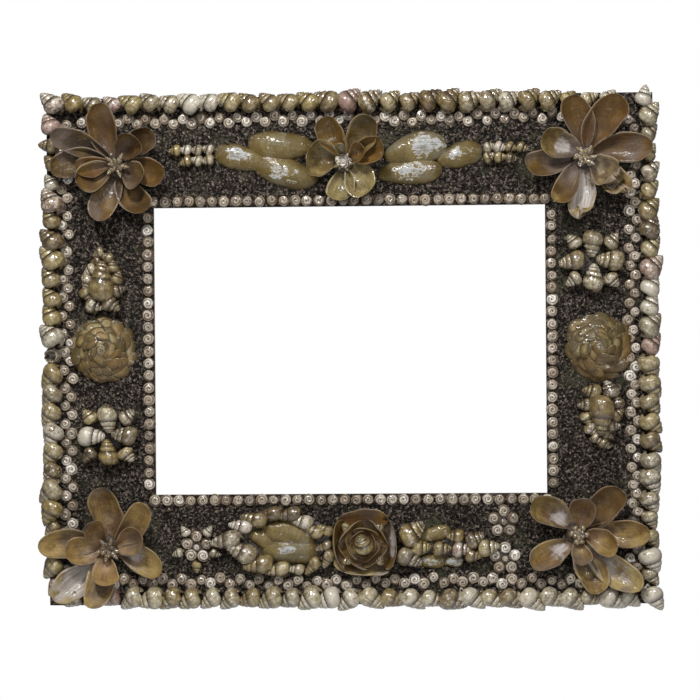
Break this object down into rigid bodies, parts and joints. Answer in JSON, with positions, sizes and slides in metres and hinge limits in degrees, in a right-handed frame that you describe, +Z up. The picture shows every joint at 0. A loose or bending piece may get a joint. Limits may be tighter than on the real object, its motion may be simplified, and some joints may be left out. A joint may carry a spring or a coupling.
{
  "type": "shell picture frame",
  "caption": "Rectangular picture frame of flat boards, its dark gritted face covered with borders of sea shells, corner flowers of mussel valves and smaller shell sprays.",
  "frame": {"origin": "on the flat back of the top rail, half way along it and half way up it, where the frame meets the wall", "axes": "+X to the right as the shells are seen from the front, +Z up, +Y from the shells to the wall"},
  "size_m": [0.4962, 0.0415, 0.4142],
  "materials": {
    "wood": "bare, aged softwood",
    "grit": "dark crushed grit in varnish",
    "golden_shell": "varnished shell",
    "pale_shell": "varnished shell",
    "mussel_shell": "varnished shell with pearl inside"
  },
  "bodies": {
    "root": {"bottom_rail": "wood", "floret_left": "pale_shell", "floret_right_lower": "pale_shell", "floret_right_upper": "pale_shell", "flower_bottom_left": "mussel_shell", "flower_bottom_right": "mussel_shell", "flower_top_left": "mussel_shell", "flower_top_right": "mussel_shell", "grit_coat": "grit", "leaf_left_lower": "mussel_shell", "leaf_left_outer": "mussel_shell", "leaf_left_upper": "mussel_shell", "leaf_right_lower": "mussel_shell", "leaf_right_outer": "mussel_shell", "leaf_right_upper": "mussel_shell", "left_stile": "wood", "outer_row_bottom": "golden_shell", "outer_row_left": "golden_shell", "outer_row_right": "golden_shell", "outer_row_top": "golden_shell", "right_stile": "wood", "rose": "mussel_shell", "rose_bud": "golden_shell", "rosette_left": "mussel_shell", "rosette_right": "mussel_shell", "sight_row_bottom": "pale_shell", "sight_row_left": "pale_shell", "sight_row_right": "pale_shell", "sight_row_top": "pale_shell", "spiral_band_bottom": "pale_shell", "spiral_band_left": "pale_shell", "spiral_band_right": "pale_shell", "spiral_band_top": "pale_shell", "spray_left": "golden_shell", "spray_left_inner_valve": "mussel_shell", "spray_left_lower_valve": "mussel_shell", "spray_left_upper_valve": "mussel_shell", "spray_right": "golden_shell", "spray_right_lower_valve": "mussel_shell", "spray_right_outer_valve": "mussel_shell", "spray_right_upper_valve": "mussel_shell", "stamens_bottom_left": "pale_shell", "stamens_bottom_right": "pale_shell", "stamens_top_left": "pale_shell", "stamens_top_right": "pale_shell", "star_left": "golden_shell", "star_right": "golden_shell", "teardrop_left": "golden_shell", "teardrop_right": "golden_shell", "top_flower": "mussel_shell", "top_flower_heart": "pale_shell", "top_rail": "wood", "trail_left": "pale_shell", "trail_right": "pale_shell"}
  },
  "joints": []
}
